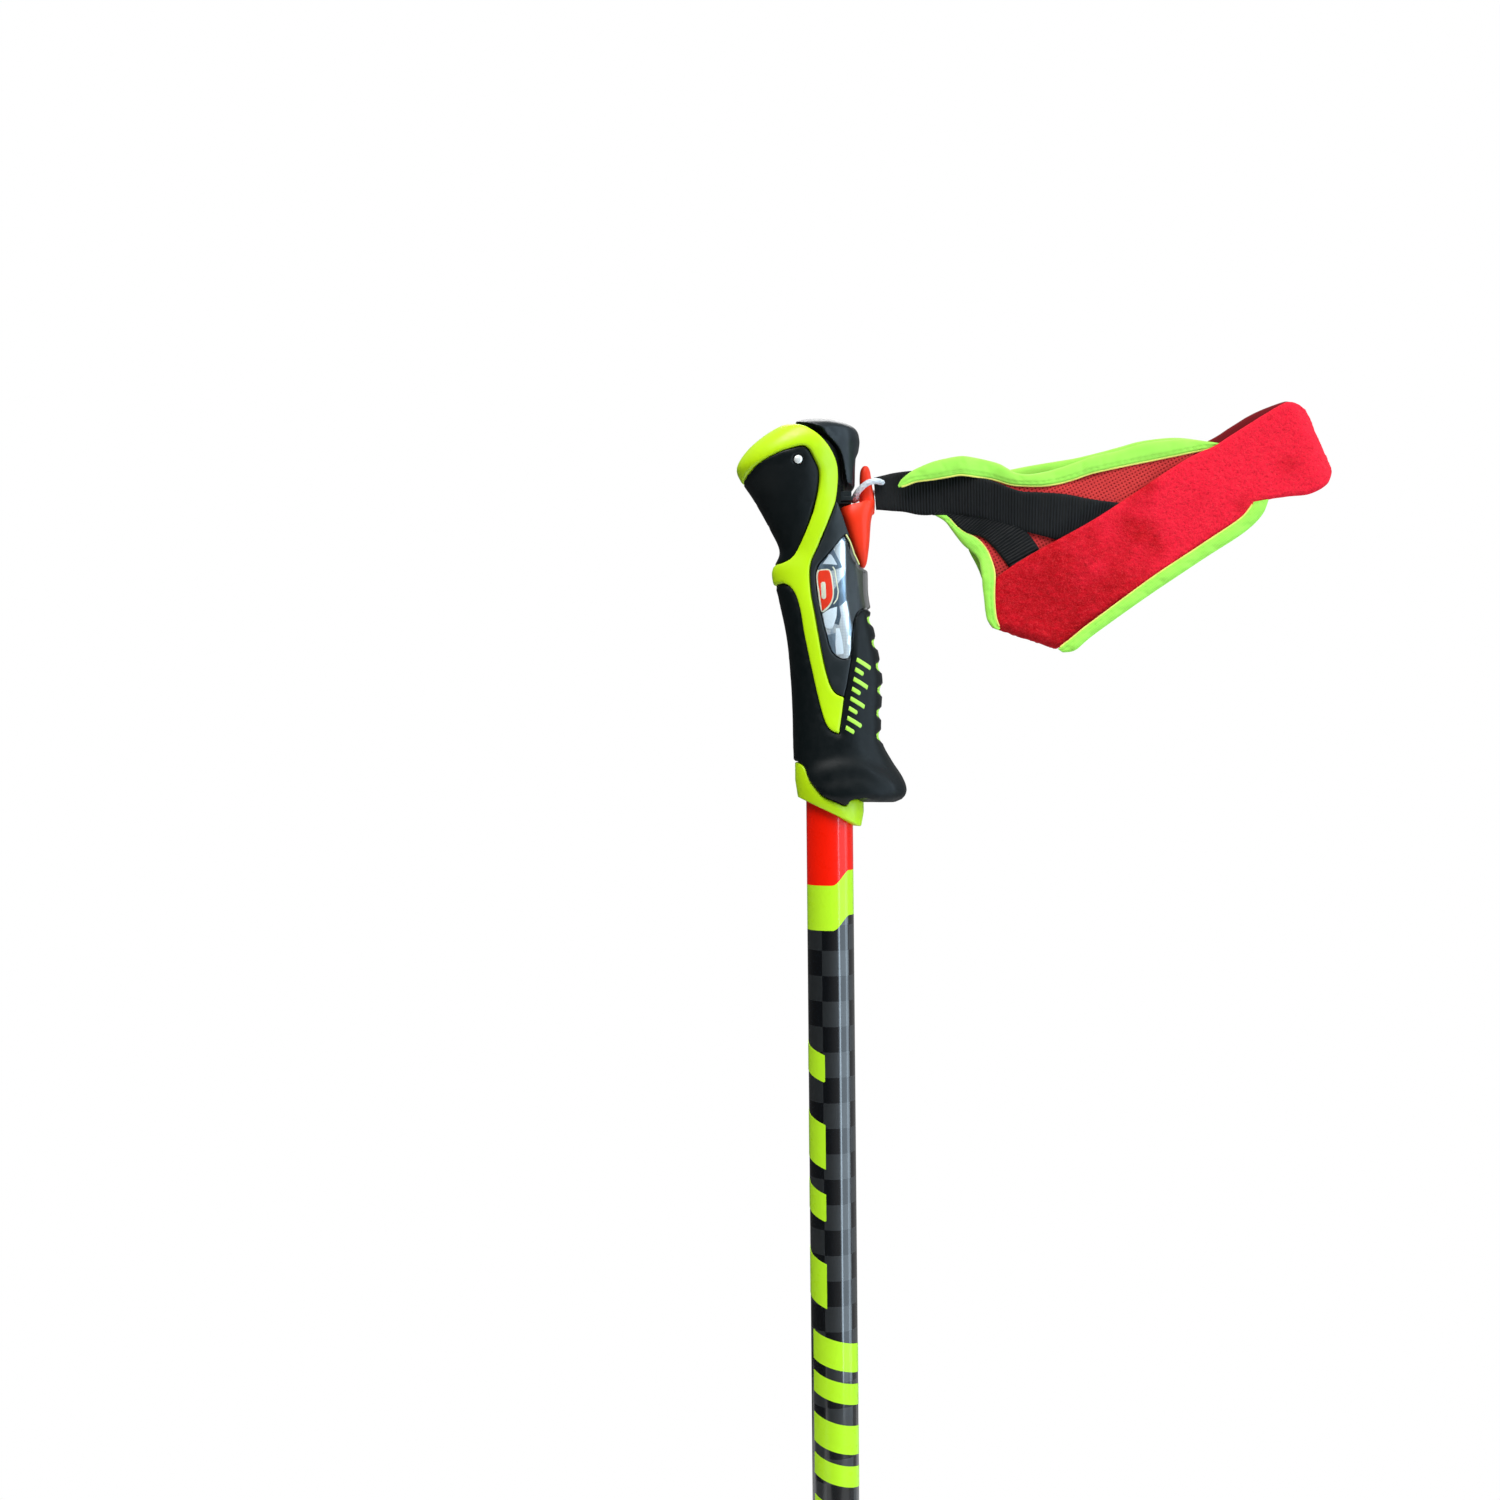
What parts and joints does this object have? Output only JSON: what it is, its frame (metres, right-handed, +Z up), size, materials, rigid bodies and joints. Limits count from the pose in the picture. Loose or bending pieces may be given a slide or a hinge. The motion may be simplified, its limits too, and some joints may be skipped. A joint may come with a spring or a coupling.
{
  "type": "ski pole",
  "caption": "Alpine ski pole with a moulded release grip, top button, sprung strap hook, quick-release wrist strap, tapered shaft and small race basket.",
  "frame": {"origin": "on the shaft's axis at the middle of the hand grip", "axes": "+Z up along the shaft, +X towards the palm side where the strap leaves, -Y the side that shows the face of the hook-and-loop band"},
  "size_m": [0.2291, 0.05, 1.2032],
  "materials": {
    "grip_lime": "satin moulded plastic",
    "soft_black": "matt soft-touch rubber",
    "dark_plastic": "satin moulded plastic",
    "core_black": "matt moulded plastic",
    "basket_lime": "satin moulded plastic",
    "signal_red": "smooth moulded plastic",
    "steel": "ground steel",
    "carbon": "clear-coated checkered carbon with red and lime paint",
    "window_clear": "clear glossy plastic",
    "window_foil": "silvery foil over carbon weave",
    "cord_white": "round braided cord",
    "webbing_black": "ribbed webbing",
    "mesh_red": "knitted spacer mesh",
    "band_red": "hook-and-loop pile",
    "binding_lime": "stretch binding",
    "carbide": "ground hard metal"
  },
  "bodies": {
    "grip": {"shaft_tube": "carbon", "shaft_plug": "core_black", "tip_ferrule": "core_black", "snow_basket": "basket_lime", "tip_stud": "steel", "carbide_tip": "carbide", "grip_core": "core_black", "grip_frame": "grip_lime", "grip_head_panel": "soft_black", "bezel_left": "dark_plastic", "bezel_right": "dark_plastic", "window_shell": "window_clear", "window_inlay": "window_foil", "badge_left": "signal_red", "badge_right": "signal_red", "grip_lower_body": "soft_black", "grip_collar": "grip_lime", "button_pin": "steel", "hook_pin": "steel", "button_spring": "steel", "hook_spring": "steel"},
    "button": {"release_button": "dark_plastic"},
    "latch": {"strap_latch": "core_black"},
    "hook": {"strap_hook": "signal_red"},
    "loop": {"cord_loop": "cord_white", "neck_ply_left": "webbing_black", "neck_ply_right": "webbing_black"},
    "strap": {"strap_tongue": "webbing_black", "wrist_band": "band_red", "webbing_upper_left": "webbing_black", "webbing_lower_left": "webbing_black", "mesh_panel_left": "mesh_red", "binding_top_left": "binding_lime", "binding_thumb_left": "binding_lime", "binding_bottom_left": "binding_lime", "webbing_upper_right": "webbing_black", "webbing_lower_right": "webbing_black", "mesh_panel_right": "mesh_red", "binding_top_right": "binding_lime", "binding_thumb_right": "binding_lime", "binding_bottom_right": "binding_lime"}
  },
  "joints": [
    {"name": "button_press", "type": "hinge", "parent": "grip", "child": "button", "pos_m": [-0.0115, 0, 0.074], "axis": [0, 1, 0], "range_deg": [0, 4], "stiffness_Nm_per_rad": 1, "springref_deg": -5.73},
    {"name": "latch_slide", "type": "slide", "parent": "grip", "child": "latch", "axis": [-1, 0, 0], "range_m": [0, 0.0016]},
    {"name": "hook_tilt", "type": "hinge", "parent": "grip", "child": "hook", "pos_m": [0.0068, 0, 0.041], "axis": [0, 1, 0], "range_deg": [0, 8], "stiffness_Nm_per_rad": 8, "springref_deg": -8.59},
    {"name": "loop_swivel", "type": "hinge", "parent": "hook", "child": "loop", "pos_m": [0.0156, 0, 0.0645], "axis": [0, 0, 1], "range_deg": [-12, 12]},
    {"name": "strap_pitch", "type": "hinge", "parent": "loop", "child": "strap", "pos_m": [0.0303, 0, 0.0645], "axis": [0, 1, 0], "range_deg": [-60, 30]}
  ],
  "couplings": [
    {"joint": "latch_slide", "follows": "button_press", "m_per_rad": 0.0225}
  ]
}
